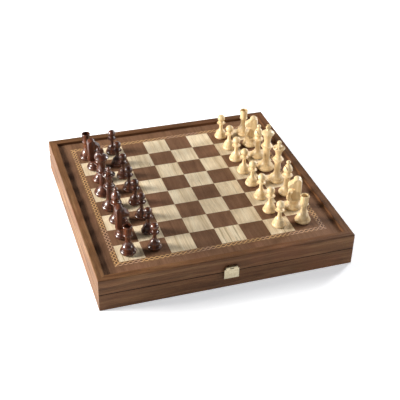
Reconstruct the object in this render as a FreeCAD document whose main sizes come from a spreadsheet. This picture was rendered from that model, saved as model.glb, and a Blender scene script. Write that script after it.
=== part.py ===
"""Chess set on a hinged storage case, modelled in millimetres.

The origin is the centre of the underside of the case. +Z is up, +X runs from the dark army to the
light army, and -Y is the front, where the clasp is. The hinges are at the back.
"""
import FreeCAD, Part
import math
import os
import Sketcher

document = FreeCAD.newDocument("chess_set")

# ---------------------------------------------------------------------------------------------
# Driving dimensions: alias, value in millimetres, meaning
# ---------------------------------------------------------------------------------------------
DIMENSIONS = [
    ("square", 34, "side of one square of the playing field"),
    ("case_side", 342, "outer side of the case"),
    ("wall_thickness", 11, "thickness of the walls, seen as the rim round the board"),
    ("base_height", 25, "height of the base, from the underside to the seam"),
    ("lid_height", 22, "height of the lid, from the seam to the rim"),
    ("rim_height", 4.2, "rise of the rim above the playing surface"),
    ("veneer", 0.8, "thickness of the veneers of the playing surface"),
    ("panel_thickness", 6, "thickness of the board panel"),
    ("floor_thickness", 4, "thickness of the floor panel"),
    ("groove_depth", 5, "depth of the grooves that hold the two panels"),
    ("lining", 1, "thickness of the felt linings"),
    ("edge_round", 0.9, "radius on the outer edges of the walls"),
    ("inlay_width", 8, "width of the patterned inlay band"),
    ("bevel_depth", 4, "depth of the bevels along the back of the seam, in from the back face"),
    ("bevel_rise", 5, "height of each of these bevels"),
    ("hinge_spacing", 190, "distance between the middles of the two hinges"),
    ("hinge_length", 26, "length of a hinge"),
    ("leaf_width", 6, "width of a hinge leaf, in from the hinge axis"),
    ("knuckle", 2, "radius of the hinge knuckles, twice the thickness of a leaf"),
    ("hinge_pin", 0.8, "radius of the hinge pins"),
    ("running_gap", 0.05, "radial clearance of a pin in a knuckle that turns"),
    ("side_gap", 0.2, "clearance beside and round a knuckle"),
    ("screw_pitch", 16, "distance between the two screws of a leaf"),
    ("screw_inset", 3.6, "distance from the hinge axis to the screws"),
    ("screw_radius", 0.8, "radius of a screw's shank"),
    ("screw_head", 1.5, "radius of a screw's head"),
    ("screw_length", 8, "length of a screw"),
    ("clasp_width", 20, "width of the clasp flap"),
    ("clasp_top", 31.2, "height of the top edge of the clasp flap"),
    ("clasp_bottom", 16.5, "height of the bottom edge of the clasp flap"),
    ("clasp_gauge", 1.2, "thickness of the clasp flap"),
    ("plate_gauge", 1, "thickness of the clasp plate and the keeper"),
    ("plate_width", 17, "width of the clasp plate"),
    ("clasp_axis_height", 33, "height of the clasp's hinge axis"),
    ("clasp_axis_reach", 2.2, "distance of the clasp's hinge axis in front of the case"),
    ("clasp_knuckle", 1.5, "radius of the clasp's knuckles"),
    ("clasp_pin", 0.5, "radius of the clasp's pin"),
    ("clasp_barrel", 16, "length of the clasp's row of knuckles"),
    ("keeper_width", 14, "width of the keeper"),
    ("keeper_top", 23.6, "height of the keeper's top edge"),
    ("keeper_bottom", 17.6, "height of the keeper's bottom edge"),
    ("keeper_bead", 0.9, "radius of the keeper's bead"),
    ("nail_radius", 0.5, "radius of a nail's shank"),
    ("nail_head", 1.1, "radius of a nail's head"),
    ("nail_length", 6, "length of a nail's shank"),
    ("nail_pitch", 10, "distance between the two nails of a plate"),
    ("keeper_nails", 21.8, "height of the keeper's nails"),
    ("plate_nails", 28.6, "height of the clasp plate's nails"),
    ("felt", 0.8, "thickness of the felt under a chessman"),
    ("felt_margin", 1.2, "how far the felt stays inside the foot of a chessman"),
    ("king_height", 72, "height of a king, without its felt"),
    ("queen_height", 65, "height of a queen"),
    ("bishop_height", 53.7, "height of a bishop"),
    ("knight_height", 48, "height of a knight"),
    ("rook_height", 41, "height of a rook"),
    ("pawn_height", 38.2, "height of a pawn"),
]

sheet = document.addObject("Spreadsheet::Sheet", "Size")
for row, (alias, value, meaning) in enumerate(DIMENSIONS, start=1):
    sheet.set(f"A{row}", alias)
    sheet.set(f"B{row}", str(value))
    sheet.set(f"C{row}", meaning)
    sheet.setAlias(f"B{row}", alias)
document.recompute()

# Expressions that are used in several places
OUTER = "Size.case_side / 2"
INNER = "(Size.case_side / 2 - Size.wall_thickness)"
PANEL_EDGE = "(Size.case_side / 2 - Size.wall_thickness + Size.groove_depth)"
CASE_TOP = "(Size.base_height + Size.lid_height)"
SURFACE = "(Size.base_height + Size.lid_height - Size.rim_height)"
PANEL_TOP = "(Size.base_height + Size.lid_height - Size.rim_height - Size.veneer)"
PANEL_BOTTOM = f"({PANEL_TOP} - Size.panel_thickness)"
HINGE_Y = "(Size.case_side / 2 - Size.bevel_depth)"
CLASP_Y = "(Size.case_side / 2 + Size.clasp_axis_reach)"
LEAF = "Size.knuckle / 2"
FIELD = "Size.square * 4"
INLAY_EDGE = "(Size.square * 4 + Size.inlay_width)"


def number(expression):
    """Value of an expression of the sheet."""
    return float(sheet.evalExpression(expression))


def place(thing, x="0", y="0", z="0", turn=0, axis=(0, 0, 1)):
    """Bind where a thing stands to the sheet, turned about an axis through that point."""
    rotation = FreeCAD.Rotation(FreeCAD.Vector(*axis), turn)
    thing.Placement = FreeCAD.Placement(FreeCAD.Vector(0, 0, 0), rotation)
    for letter, expression in zip("xyz", (x, y, z)):
        thing.setExpression(f"Placement.Base.{letter}", expression)
    return thing


# ---------------------------------------------------------------------------------------------
# Sketches
# ---------------------------------------------------------------------------------------------
VERTICAL_AXIS = -2


def new_body(label):
    body = document.addObject("PartDesign::Body", label)
    body.Label = label
    return body


def new_sketch(body, plane, offset="0"):
    """A sketch on one of the body's own planes, moved along the plane's normal by offset."""
    sketch = body.newObject("Sketcher::SketchObject", "Sketch")
    support = [item for item in body.Origin.OriginFeatures if item.Role == f"{plane}_Plane"]
    sketch.AttachmentSupport = [(support[0], "")]
    sketch.MapMode = "FlatFace"
    sketch.setExpression("AttachmentOffset.Base.z", offset)
    return sketch


def pin_point(sketch, geometry, handle, corner):
    """Fix a point of the sketch at a pair of expressions."""
    for direction, expression in zip(("DistanceX", "DistanceY"), corner):
        index = sketch.addConstraint(
            Sketcher.Constraint(direction, -1, 1, geometry, handle, number(expression)))
        sketch.setExpression(f"Constraints[{index}]", expression)


def arc_between(start, end, degrees):
    """Arc from start to end that bulges to the right for a positive angle and to the left otherwise."""
    half_angle = math.radians(abs(degrees)) / 2
    chord = end - start
    radius = chord.Length / 2 / math.sin(half_angle)
    right = FreeCAD.Vector(chord.y, -chord.x, 0).normalize()
    side = math.copysign(1, degrees)
    centre = (start + end) / 2 - right * (side * radius * math.cos(half_angle))
    first, last = (start, end) if degrees > 0 else (end, start)
    angles = [math.atan2(point.y - centre.y, point.x - centre.x) for point in (first, last)]
    circle = Part.Circle(centre, FreeCAD.Vector(0, 0, 1), radius)
    return Part.ArcOfCircle(circle, angles[0], angles[1])


def ball_angle(start, pole):
    """Angle of an arc from start to a pole on the vertical axis, about a centre on that axis."""
    rise = pole.y - start.y
    radius = (start.x ** 2 + rise ** 2) / (2 * rise)
    return 90 + math.degrees(math.asin((rise - radius) / radius))


def draw_outline(sketch, steps):
    """Closed outline through corners given as expressions.

    A step is (x, y) for a straight side that ends there, or (x, y, degrees) for an arc of that angle,
    which bulges to the right of its direction of travel, or to the left if the angle is negative.
    The step (x, y, "ball") is an arc about a centre on the sketch's vertical axis.
    """
    corners = [step[:2] for step in steps]
    points = [FreeCAD.Vector(number(x), number(y), 0) for x, y in corners]
    sides = []
    for index, step in enumerate(steps):
        start = points[index - 1]
        if len(step) == 2:
            geometry = sketch.addGeometry(Part.LineSegment(start, points[index]))
            sides.append((geometry, 1, 2))
            continue
        is_ball = step[2] == "ball"
        degrees = ball_angle(start, points[index]) if is_ball else step[2]
        geometry = sketch.addGeometry(arc_between(start, points[index], degrees))
        if is_ball:
            sketch.addConstraint(Sketcher.Constraint("PointOnObject", geometry, 3, VERTICAL_AXIS))
        else:
            sketch.addConstraint(Sketcher.Constraint("Angle", geometry, math.radians(abs(degrees))))
        sides.append((geometry, 1, 2) if degrees > 0 else (geometry, 2, 1))
    for index, (geometry, _, end) in enumerate(sides):
        following, start, _ = sides[(index + 1) % len(sides)]
        sketch.addConstraint(Sketcher.Constraint("Coincident", geometry, end, following, start))
        pin_point(sketch, geometry, end, corners[index])


def draw_rectangle(sketch, left, bottom, right, top):
    draw_outline(sketch, [(left, bottom), (right, bottom), (right, top), (left, top)])


def draw_circle(sketch, centre, radius):
    point = FreeCAD.Vector(number(centre[0]), number(centre[1]), 0)
    circle = Part.Circle(point, FreeCAD.Vector(0, 0, 1), number(radius))
    geometry = sketch.addGeometry(circle)
    pin_point(sketch, geometry, 3, centre)
    index = sketch.addConstraint(Sketcher.Constraint("Radius", geometry, number(radius)))
    sketch.setExpression(f"Constraints[{index}]", radius)


# ---------------------------------------------------------------------------------------------
# Features
# ---------------------------------------------------------------------------------------------
def pad(body, sketch, length, symmetric=False):
    feature = body.newObject("PartDesign::Pad", "Pad")
    feature.Profile = sketch
    feature.SideType = "Symmetric" if symmetric else "One side"
    feature.setExpression("Length", length)
    document.recompute()
    return feature


def cut(body, sketch, length=None, symmetric=False, reverse=False):
    """Pocket of a given length, or right through both ways when there is none."""
    before = body.Shape.Volume
    feature = body.newObject("PartDesign::Pocket", "Pocket")
    feature.Profile = sketch
    feature.Reversed = reverse
    if length is None:
        feature.Type = "ThroughAll"
        feature.SideType = "Symmetric"
    else:
        feature.SideType = "Symmetric" if symmetric else "One side"
        feature.setExpression("Length", length)
    document.recompute()
    if body.Shape.Volume >= before:
        raise RuntimeError(f"{body.Label}: {feature.Name} cuts nothing")
    return feature


def revolve(body, sketch):
    feature = body.newObject("PartDesign::Revolution", "Revolution")
    feature.Profile = sketch
    feature.ReferenceAxis = (sketch, ["V_Axis"])
    feature.Angle = 360
    document.recompute()
    return feature


def mirror(body, features):
    """Repeat features on the other side of the body's YZ plane."""
    plane = [item for item in body.Origin.OriginFeatures if item.Role == "YZ_Plane"][0]
    feature = body.newObject("PartDesign::Mirrored", "Mirrored")
    feature.Originals = features
    feature.MirrorPlane = (plane, [""])
    body.Tip = feature
    document.recompute()
    return feature


def turn_copies(body, features, count):
    """Repeat features round the body's Z axis."""
    axis = [item for item in body.Origin.OriginFeatures if item.Role == "Z_Axis"][0]
    feature = body.newObject("PartDesign::PolarPattern", "PolarPattern")
    feature.Originals = features
    feature.Axis = (axis, [""])
    feature.Angle = 360
    feature.Occurrences = count
    body.Tip = feature
    document.recompute()
    return feature


def block(label, low, high):
    """Part::Box between two corners given as expressions."""
    box = document.addObject("Part::Box", label)
    box.Label = label
    for name, start, end in zip(("Length", "Width", "Height"), low, high):
        box.setExpression(name, f"({end}) - ({start})")
    return place(box, *low)


def rod(label, radius, length, y, z):
    """Part::Cylinder along X, centred on the YZ plane."""
    cylinder = document.addObject("Part::Cylinder", label)
    cylinder.Label = label
    cylinder.setExpression("Radius", radius)
    cylinder.setExpression("Height", length)
    return place(cylinder, f"-({length}) / 2", y, z, 90, (0, 1, 0))


def group(label, members):
    """One sub-part that is made of separate solids."""
    compound = document.addObject("Part::Compound", label)
    compound.Label = label
    compound.Links = members
    return compound


# ---------------------------------------------------------------------------------------------
# Case walls: four of each, mitred at the corners
# ---------------------------------------------------------------------------------------------
WALL_TURNS = {"front": 0, "right": 90, "back": 180, "left": 270}


def base_section(side):
    """Section of a base wall: y across the wall, z up, with the rebate for the floor panel."""
    rebate = f"-{PANEL_EDGE}"
    inner = f"-{INNER}"
    outer = f"-{OUTER}"
    top = "Size.base_height"
    steps = [(rebate, "0"), (rebate, "Size.floor_thickness"), (inner, "Size.floor_thickness"), (inner, top)]
    if side == "back":
        steps += [(f"{outer} + Size.bevel_depth", top), (outer, f"{top} - Size.bevel_rise")]
    else:
        steps += [(f"{outer} + Size.edge_round", top), (outer, f"{top} - Size.edge_round", 90)]
    return steps + [(outer, "Size.edge_round"), (f"{outer} + Size.edge_round", "0", 90)]


def lid_section(side):
    """Section of a lid wall: the groove holds the board panel, and the rim stands above it."""
    groove = f"-{PANEL_EDGE}"
    inner = f"-{INNER}"
    outer = f"-{OUTER}"
    seam = "Size.base_height"
    steps = [
        (inner, seam), (inner, PANEL_BOTTOM), (groove, PANEL_BOTTOM), (groove, PANEL_TOP),
        (inner, PANEL_TOP),
        (inner, f"{CASE_TOP} - Size.edge_round"), (f"{inner} - Size.edge_round", CASE_TOP, 90),
        (f"{outer} + Size.edge_round", CASE_TOP), (outer, f"{CASE_TOP} - Size.edge_round", 90),
    ]
    if side == "back":
        return steps + [(outer, f"{seam} + Size.bevel_rise"), (f"{outer} + Size.bevel_depth", seam)]
    return steps + [(outer, f"{seam} + Size.edge_round"), (f"{outer} + Size.edge_round", seam, 90)]


def cut_mitres(body):
    """Cut both ends of a wall at 45 degrees, from the outer corner to the inner corner."""
    for sign in ("", "-"):
        sketch = new_sketch(body, "XY")
        corner = (f"{sign}({OUTER})", f"-{OUTER}")
        inside = (f"{sign}{INNER}", f"-{INNER}")
        end = (f"{sign}({OUTER})", f"-{INNER}")
        draw_outline(sketch, [corner, end, inside] if sign == "" else [corner, inside, end])
        cut(body, sketch)


def cut_end_bevel(body, side, direction):
    """Bevel the back end of a side wall, in line with the bevel of the back wall."""
    sign = "" if side == "right" else "-"
    sketch = new_sketch(body, "XZ")
    apex = (f"{sign}{HINGE_Y}", "Size.base_height")
    edge = (f"{sign}({OUTER})", "Size.base_height")
    far = (f"{sign}({OUTER})", f"Size.base_height {direction} Size.bevel_rise")
    draw_outline(sketch, [apex, edge, far])
    cut(body, sketch)


def cut_hinge_seats(body, direction):
    """Mortises for the hinge leaves and room for the knuckles, in a back wall."""
    middle = "Size.hinge_spacing / 2"
    axis_y = f"-{HINGE_Y}"
    seam = "Size.base_height"
    seat = new_sketch(body, "YZ", middle)
    draw_rectangle(seat, axis_y, seam, f"{axis_y} + Size.leaf_width", f"{seam} {direction} {LEAF}")
    leaf_cut = cut(body, seat, "Size.hinge_length", symmetric=True)
    room = new_sketch(body, "YZ", middle)
    draw_circle(room, (axis_y, seam), "Size.knuckle + Size.side_gap")
    knuckle_cut = cut(body, room, "Size.hinge_length", symmetric=True)
    mirror(body, [leaf_cut, knuckle_cut])
    holes = new_sketch(body, "XY", seam)
    for x in screw_places():
        draw_circle(holes, (x, f"{axis_y} + Size.screw_inset"), "Size.screw_radius")
    cut(body, holes, "Size.screw_length", reverse=direction == "+")


def nail_sketch(body, height):
    """Outlines of two nail holes on the front face of the case."""
    holes = new_sketch(body, "XZ", OUTER)
    for sign in ("", "-"):
        draw_circle(holes, (f"{sign}Size.nail_pitch / 2", height), "Size.nail_radius")
    return holes


def screw_places():
    """X of the four screws of a pair of leaves."""
    return [f"{side}Size.hinge_spacing / 2 {offset} Size.screw_pitch / 2"
            for side in ("", "-") for offset in ("-", "+")]


def make_wall(part, side):
    body = new_body(f"{part}_{side}_wall")
    section = base_section(side) if part == "base" else lid_section(side)
    direction = "-" if part == "base" else "+"
    sketch = new_sketch(body, "YZ")
    draw_outline(sketch, section)
    pad(body, sketch, "Size.case_side", symmetric=True)
    cut_mitres(body)
    if side in ("left", "right"):
        cut_end_bevel(body, side, direction)
    if side == "back":
        cut_hinge_seats(body, direction)
    if side == "front":
        height = "Size.keeper_nails" if part == "base" else "Size.plate_nails"
        cut(body, nail_sketch(body, height), "Size.nail_length - Size.plate_gauge")
    return place(body, turn=WALL_TURNS[side])


# ---------------------------------------------------------------------------------------------
# Panels, linings and the veneers of the playing surface
# ---------------------------------------------------------------------------------------------
def make_panels():
    square_plate = [
        ("base_floor_panel", PANEL_EDGE, "0", "Size.floor_thickness"),
        ("base_floor_lining", INNER, "Size.floor_thickness", "Size.floor_thickness + Size.lining"),
        ("board_panel", PANEL_EDGE, PANEL_BOTTOM, PANEL_TOP),
        ("lid_lining", INNER, f"{PANEL_BOTTOM} - Size.lining", PANEL_BOTTOM),
    ]
    return [block(label, (f"-{reach}", f"-{reach}", bottom), (reach, reach, top))
            for label, reach, bottom, top in square_plate]


def make_squares():
    """The light and the dark squares; the one at the front left corner is light."""
    colours = {"light": [], "dark": []}
    for column in range(8):
        for line in range(8):
            colour = "light" if (column + line) % 2 == 0 else "dark"
            low = (f"Size.square * {column - 4}", f"Size.square * {line - 4}", PANEL_TOP)
            high = (f"Size.square * {column - 3}", f"Size.square * {line - 3}", SURFACE)
            colours[colour].append(block(f"{colour}_square_{column}_{line}", low, high))
    return [group(f"{colour}_squares", members) for colour, members in colours.items()]


def make_inlay_band():
    """Four strips round the field, mitred at the corners."""
    strips = []
    for side, turn in WALL_TURNS.items():
        body = new_body(f"inlay_{side}")
        sketch = new_sketch(body, "XY", PANEL_TOP)
        draw_outline(sketch, [(f"-{INLAY_EDGE}", f"-{INLAY_EDGE}"), (INLAY_EDGE, f"-{INLAY_EDGE}"),
                              (FIELD, f"-{FIELD}"), (f"-{FIELD}", f"-{FIELD}")])
        pad(body, sketch, "Size.veneer")
        strips.append(place(body, turn=turn))
    return group("inlay_band", strips)


def make_border_veneer():
    """Strips between the inlay and the rim; the side strips run the full depth of the board."""
    strips = []
    for sign, side in (("-", "front"), ("", "back")):
        near, far = sorted((f"{sign}{INLAY_EDGE}", f"{sign}{INNER}"), key=number)
        low = (f"-{INLAY_EDGE}", near, PANEL_TOP)
        strips.append(block(f"border_{side}", low, (INLAY_EDGE, far, SURFACE)))
    for sign, side in (("-", "left"), ("", "right")):
        near, far = sorted((f"{sign}{INLAY_EDGE}", f"{sign}{INNER}"), key=number)
        strips.append(block(f"border_{side}", (near, f"-{INNER}", PANEL_TOP), (far, INNER, SURFACE)))
    return group("border_veneer", strips)


# ---------------------------------------------------------------------------------------------
# Hinges: two butt hinges let into the back of the seam
# ---------------------------------------------------------------------------------------------
def make_leaf(label, direction, x):
    """One hinge leaf. The lower leaf has the two end knuckles and the upper leaf the middle one."""
    body = new_body(label)
    seam = "Size.base_height"
    face = f"{seam} {direction} {LEAF}"
    edge = f"{HINGE_Y} - Size.leaf_width"
    root = f"{HINGE_Y} - Size.knuckle * cos(30)"
    knuckle_side = f"{HINGE_Y} - Size.knuckle"
    wrap = 330 if direction == "-" else -330
    sketch = new_sketch(body, "YZ")
    draw_outline(sketch, [(edge, seam), (edge, face), (root, face), (knuckle_side, seam, wrap)])
    pad(body, sketch, "Size.hinge_length", symmetric=True)

    third = "Size.hinge_length / 6"
    near = f"{HINGE_Y} - Size.knuckle - Size.side_gap"
    far = f"{HINGE_Y} + Size.knuckle * 2"
    gaps = new_sketch(body, "XY")
    if direction == "-":
        draw_rectangle(gaps, f"-{third} - Size.side_gap / 2", near, f"{third} + Size.side_gap / 2", far)
    else:
        for sign in ("", "-"):
            ends = [f"{sign}({third} - Size.side_gap / 2)", f"{sign}Size.hinge_length"]
            ends.sort(key=number)
            draw_rectangle(gaps, ends[0], near, ends[1], far)
    cut(body, gaps)

    bore = new_sketch(body, "YZ")
    radius = "Size.hinge_pin" if direction == "-" else "Size.hinge_pin + Size.running_gap"
    draw_circle(bore, (HINGE_Y, seam), radius)
    cut(body, bore)
    for radius, depth in (("Size.screw_radius", None), ("Size.screw_head", f"{LEAF} / 2")):
        holes = new_sketch(body, "XY", seam)
        for sign in ("", "-"):
            draw_circle(holes, (f"{sign}Size.screw_pitch / 2", f"{HINGE_Y} - Size.screw_inset"), radius)
        cut(body, holes, depth, reverse=direction == "+")
    return place(body, x=x)


def make_screw(label, x, direction):
    """Screw with a flat head, flush with the face of its leaf."""
    body = new_body(label)
    head = f"{LEAF} / 2"
    sketch = new_sketch(body, "XZ")
    draw_outline(sketch, [("0", "0"), ("0", "-Size.screw_length"),
                          ("Size.screw_radius", "-Size.screw_length + Size.screw_radius * 2"),
                          ("Size.screw_radius", f"-{head}"), ("Size.screw_head", f"-{head}"),
                          ("Size.screw_head", "0")])
    revolve(body, sketch)
    return place(body, x, f"{HINGE_Y} - Size.screw_inset", "Size.base_height",
                 0 if direction == "-" else 180, (1, 0, 0))


def make_hinges():
    middles = {"left": "-Size.hinge_spacing / 2", "right": "Size.hinge_spacing / 2"}
    parts = []
    for level, direction in (("lower", "-"), ("upper", "+")):
        leaves = [make_leaf(f"{level}_leaf_{side}", direction, x) for side, x in middles.items()]
        parts.append(group(f"hinge_leaves_{level}", leaves))
        screws = [make_screw(f"{level}_screw_{index}", x, direction)
                  for index, x in enumerate(screw_places())]
        parts.append(group(f"hinge_screws_{level}", screws))
    pins = []
    for side, x in middles.items():
        pin = rod(f"hinge_pin_{side}", "Size.hinge_pin", "Size.hinge_length", HINGE_Y, "Size.base_height")
        pin.setExpression("Placement.Base.x", f"{x} - Size.hinge_length / 2")
        pins.append(pin)
    return parts + [group("hinge_pins", pins)]


# ---------------------------------------------------------------------------------------------
# Clasp at the middle of the front
# ---------------------------------------------------------------------------------------------
FRONT = f"-{OUTER}"
PLATE_FACE = f"-{OUTER} - Size.plate_gauge"
CLASP_AXIS = (f"-{CLASP_Y}", "Size.clasp_axis_height")
BARREL_THIRD = "Size.clasp_barrel / 6"


def make_clasp_plate():
    """Plate on the lid, with the middle knuckle on a tab above it."""
    body = new_body("clasp_plate")
    tab_top = "Size.clasp_axis_height + Size.clasp_knuckle"
    sections = [("Size.base_height + 1", "Size.clasp_top", "Size.plate_width"),
                ("Size.clasp_top", tab_top, f"{BARREL_THIRD} * 2")]
    for bottom, top, width in sections:
        sketch = new_sketch(body, "YZ")
        draw_rectangle(sketch, PLATE_FACE, bottom, FRONT, top)
        pad(body, sketch, width, symmetric=True)
    knuckle = new_sketch(body, "YZ")
    draw_circle(knuckle, CLASP_AXIS, "Size.clasp_knuckle")
    pad(body, knuckle, f"{BARREL_THIRD} * 2", symmetric=True)
    bore = new_sketch(body, "YZ")
    draw_circle(bore, CLASP_AXIS, "Size.clasp_pin")
    cut(body, bore)
    cut(body, nail_sketch(body, "Size.plate_nails"))
    return body


def make_clasp_flap():
    """Flap that hangs over the seam, with a knuckle near each end of its top edge."""
    body = new_body("clasp_flap")
    back = f"-{OUTER} - Size.clasp_axis_reach - Size.clasp_knuckle + Size.clasp_gauge"
    face = f"-{OUTER} - Size.clasp_axis_reach - Size.clasp_knuckle"
    sketch = new_sketch(body, "YZ")
    draw_rectangle(sketch, face, "Size.clasp_bottom", back, "Size.clasp_top")
    pad(body, sketch, "Size.clasp_width", symmetric=True)
    knuckles = new_sketch(body, "YZ")
    draw_outline(knuckles, [(face, "Size.clasp_top"), (back, "Size.clasp_top"),
                            (back, "Size.clasp_axis_height"), (face, "Size.clasp_axis_height")])
    pad(body, knuckles, "Size.clasp_barrel", symmetric=True)
    barrel = new_sketch(body, "YZ")
    draw_circle(barrel, CLASP_AXIS, "Size.clasp_knuckle")
    pad(body, barrel, "Size.clasp_barrel", symmetric=True)
    gap = new_sketch(body, "XZ")
    reach = f"{BARREL_THIRD} + Size.side_gap"
    above = "Size.clasp_axis_height + Size.clasp_knuckle * 2"
    draw_rectangle(gap, f"-({reach})", "Size.clasp_top", reach, above)
    cut(body, gap)
    bore = new_sketch(body, "YZ")
    draw_circle(bore, CLASP_AXIS, "Size.clasp_pin + Size.running_gap")
    cut(body, bore)
    return body


def make_keeper():
    """Keeper on the base, a plate with a rounded bead that the flap presses over."""
    body = new_body("clasp_keeper")
    bead = "(Size.keeper_bottom + Size.keeper_bead * 2)"
    sketch = new_sketch(body, "YZ")
    draw_outline(sketch, [
        (PLATE_FACE, "Size.keeper_bottom"), (FRONT, "Size.keeper_bottom"), (FRONT, "Size.keeper_top"),
        (PLATE_FACE, "Size.keeper_top"), (PLATE_FACE, f"{bead} + Size.keeper_bead"),
        (PLATE_FACE, f"{bead} - Size.keeper_bead", 180),
    ])
    pad(body, sketch, "Size.keeper_width", symmetric=True)
    cut(body, nail_sketch(body, "Size.keeper_nails"))
    return body


def make_nails(label, height):
    """Two nails with domed heads, driven in along +Y."""
    nails = []
    for sign, side in (("-", "left"), ("", "right")):
        body = new_body(f"{label}_{side}")
        sketch = new_sketch(body, "XZ")
        draw_outline(sketch, [("0", "Size.nail_head / 2"), ("0", "-Size.nail_length"),
                              ("Size.nail_radius", "-Size.nail_length + Size.nail_radius * 2"),
                              ("Size.nail_radius", "0"), ("Size.nail_head", "0"),
                              ("Size.nail_head * 0.6", "Size.nail_head / 2", 50)])
        revolve(body, sketch)
        nails.append(place(body, f"{sign}Size.nail_pitch / 2", PLATE_FACE, height, 90, (1, 0, 0)))
    return group(label, nails)


def make_clasp():
    pin = rod("clasp_pin", "Size.clasp_pin", "Size.clasp_barrel", *CLASP_AXIS)
    return [make_clasp_plate(), make_clasp_flap(), make_keeper(), pin,
            make_nails("clasp_nails", "Size.plate_nails"), make_nails("keeper_nails", "Size.keeper_nails")]


# ---------------------------------------------------------------------------------------------
# Chessmen. Outlines are in hundredths of the man's height: radius, height and, for an arc, its
# angle, which is positive for a bead and negative for a cove. A ball ends on the man's axis.
# ---------------------------------------------------------------------------------------------
KING = [
    (15.4, 0), (15.4, 7.7, 100), (14.3, 7.7), (14.3, 9.9, 120), (13.3, 9.9),
    (6.8, 28, -60), (6.1, 45), (7.9, 46), (7.9, 48.1, 150), (11, 51.2, -70), (11, 53.3, 150),
    (7.2, 56.5, -70), (7.2, 58.6, 150), (6.7, 59), (12, 80.7, -40), (11.6, 83.2, 150), (3, 88, 40),
    (2.4, 89.8, -60), (0, 89.8),
]
QUEEN = [
    (16.2, 0), (16.2, 8.2, 100), (15, 8.2), (15, 10.7, 120), (14, 10.7),
    (7, 30, -60), (6.2, 46.9), (8.2, 48), (8.2, 50.2, 150), (11.5, 53.3, -70), (11.5, 55.4, 150),
    (7.4, 58.8, -70), (7.4, 60.9, 150), (6.2, 61.5), (12.1, 80.6, -45), (11.9, 84.2, 150), (9.6, 83.4),
    (3.4, 89.2, 40), (2.6, 91.2), (0, 100, "ball"),
]
BISHOP = [
    (17.4, 0), (17.4, 9.2, 100), (16, 9.2), (16, 12, 120), (15, 12),
    (7.4, 33, -60), (6.7, 48.5), (9, 49.6), (9, 51.8, 150), (13.2, 55, -70), (13.2, 57.2, 150),
    (7.8, 61, -70), (7.8, 63, 150), (7, 63.6), (12, 73, 60), (3, 88.8, 50), (3, 89.7), (0, 100, "ball"),
]
KNIGHT = [
    (20.6, 0), (20.6, 10.4, 100), (19, 10.4), (19, 13.6, 120), (18, 13.6),
    (15.6, 21, -50), (15.6, 24.6, 150), (17, 25.2), (20.6, 31, 60), (20.6, 100), (0, 100),
]
ROOK = [
    (23.4, 0), (23.4, 11.6, 100), (21.6, 11.6), (21.6, 15, 120), (20.2, 15), (17.4, 27, 20),
    (9.8, 56, -50), (13.2, 65.5, -60), (13.2, 68.5, 150), (12.9, 69.2), (14.8, 97, -12), (13.8, 100, 80),
    (10.8, 100), (10.2, 90), (0, 90),
]
PAWN = [
    (22, 0), (22, 12, 100), (20.4, 12), (20.4, 15.4, 120), (19.4, 15.4), (16.6, 27, 25),
    (6.6, 48, -60), (6.5, 59), (15.6, 63.2, -50), (15.6, 65.4, 150), (8.2, 69.2, -50), (8.2, 73.5),
    (0, 100, "ball"),
]
PROFILES = {"king": KING, "queen": QUEEN, "bishop": BISHOP, "knight": KNIGHT, "rook": ROOK, "pawn": PAWN}

# Front of the knight's head, cut from the blank: lobe of the mane, forehead, nose, jaw, notch, chest
KNIGHT_FRONT = [
    (-30, 84), (-20.8, 84), (-12, 97, -62), (0.5, 91, -70), (4, 86.5, 40), (13.5, 80.5, -16),
    (18.6, 75, -60), (17.6, 68.5, -40), (12, 67, -40), (-1, 67.5, 20), (-1.5, 64.5, 120), (9.5, 54, 12),
    (16.4, 41, -24), (16.4, 32, -30), (30, 30), (30, 110), (-30, 110),
]
def of_height(kind, steps):
    """Turn hundredths of a man's height into expressions of the sheet."""
    return [tuple(f"Size.{kind}_height * {part} / 100" for part in step[:2]) + tuple(step[2:])
            for step in steps]


def add_cross(body):
    """Cross with flared arms on top of the king."""
    foot, waist, arm, middle, flare, top = 87.8, 2, 4.3, 94.6, 2.3, 100
    right_side = [(waist, foot), (waist, middle - waist), (arm, middle - flare), (arm, middle + flare),
                  (waist, middle + waist), (flare + 0.8, top)]
    left_side = [(-x, z) for x, z in reversed(right_side)]
    sketch = new_sketch(body, "XZ")
    draw_outline(sketch, of_height("king", right_side + left_side))
    pad(body, sketch, "Size.king_height * 4.6 / 100", symmetric=True)


def cut_coronet(body):
    """Round scallops in the rim of the queen's coronet."""
    rim_radius, rim_top, scallop, reach, count = 10.9, 85.6, 2.4, 8, 8
    sketch = new_sketch(body, "XZ", f"Size.queen_height * {rim_radius} / 100")
    centre = of_height("queen", [(0, rim_top)])[0]
    draw_circle(sketch, centre, f"Size.queen_height * {scallop} / 100")
    notch = cut(body, sketch, f"Size.queen_height * {reach} / 100", symmetric=True)
    turn_copies(body, [notch], count)


def cut_mitre(body):
    """Slanting slot in the bishop's mitre."""
    sketch = new_sketch(body, "XZ")
    slot = [(2.2, 74.5), (3.8, 73.9), (12, 89), (10, 90)]
    draw_outline(sketch, of_height("bishop", slot))
    cut(body, sketch)


def cut_crenels(body):
    """Two slots right across the rim of the tower, which leave four merlons."""
    half_slot, floor, above = 2.6, 93, 101
    sketch = new_sketch(body, "YZ")
    low, high = of_height("rook", [(-half_slot, floor), (half_slot, above)])
    draw_rectangle(sketch, *low, *high)
    turn_copies(body, [cut(body, sketch)], 2)


def cut_head(body):
    """Saw the outline of the knight's head from the blank, then flatten both cheeks."""
    outline = new_sketch(body, "XZ")
    draw_outline(outline, of_height("knight", KNIGHT_FRONT))
    cut(body, outline)
    flat, foot, fillet, outside, above = 11.4, 31, 4, 30, 110
    cheeks = new_sketch(body, "YZ")
    for side in (1, -1):
        steps = [(side * flat, foot + fillet), (side * (flat + fillet), foot, side * 90),
                 (side * outside, foot), (side * outside, above), (side * flat, above)]
        draw_outline(cheeks, of_height("knight", steps))
    cut(body, cheeks)


FINISHES = {"king": add_cross, "queen": cut_coronet, "bishop": cut_mitre, "rook": cut_crenels,
            "knight": cut_head}


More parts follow.
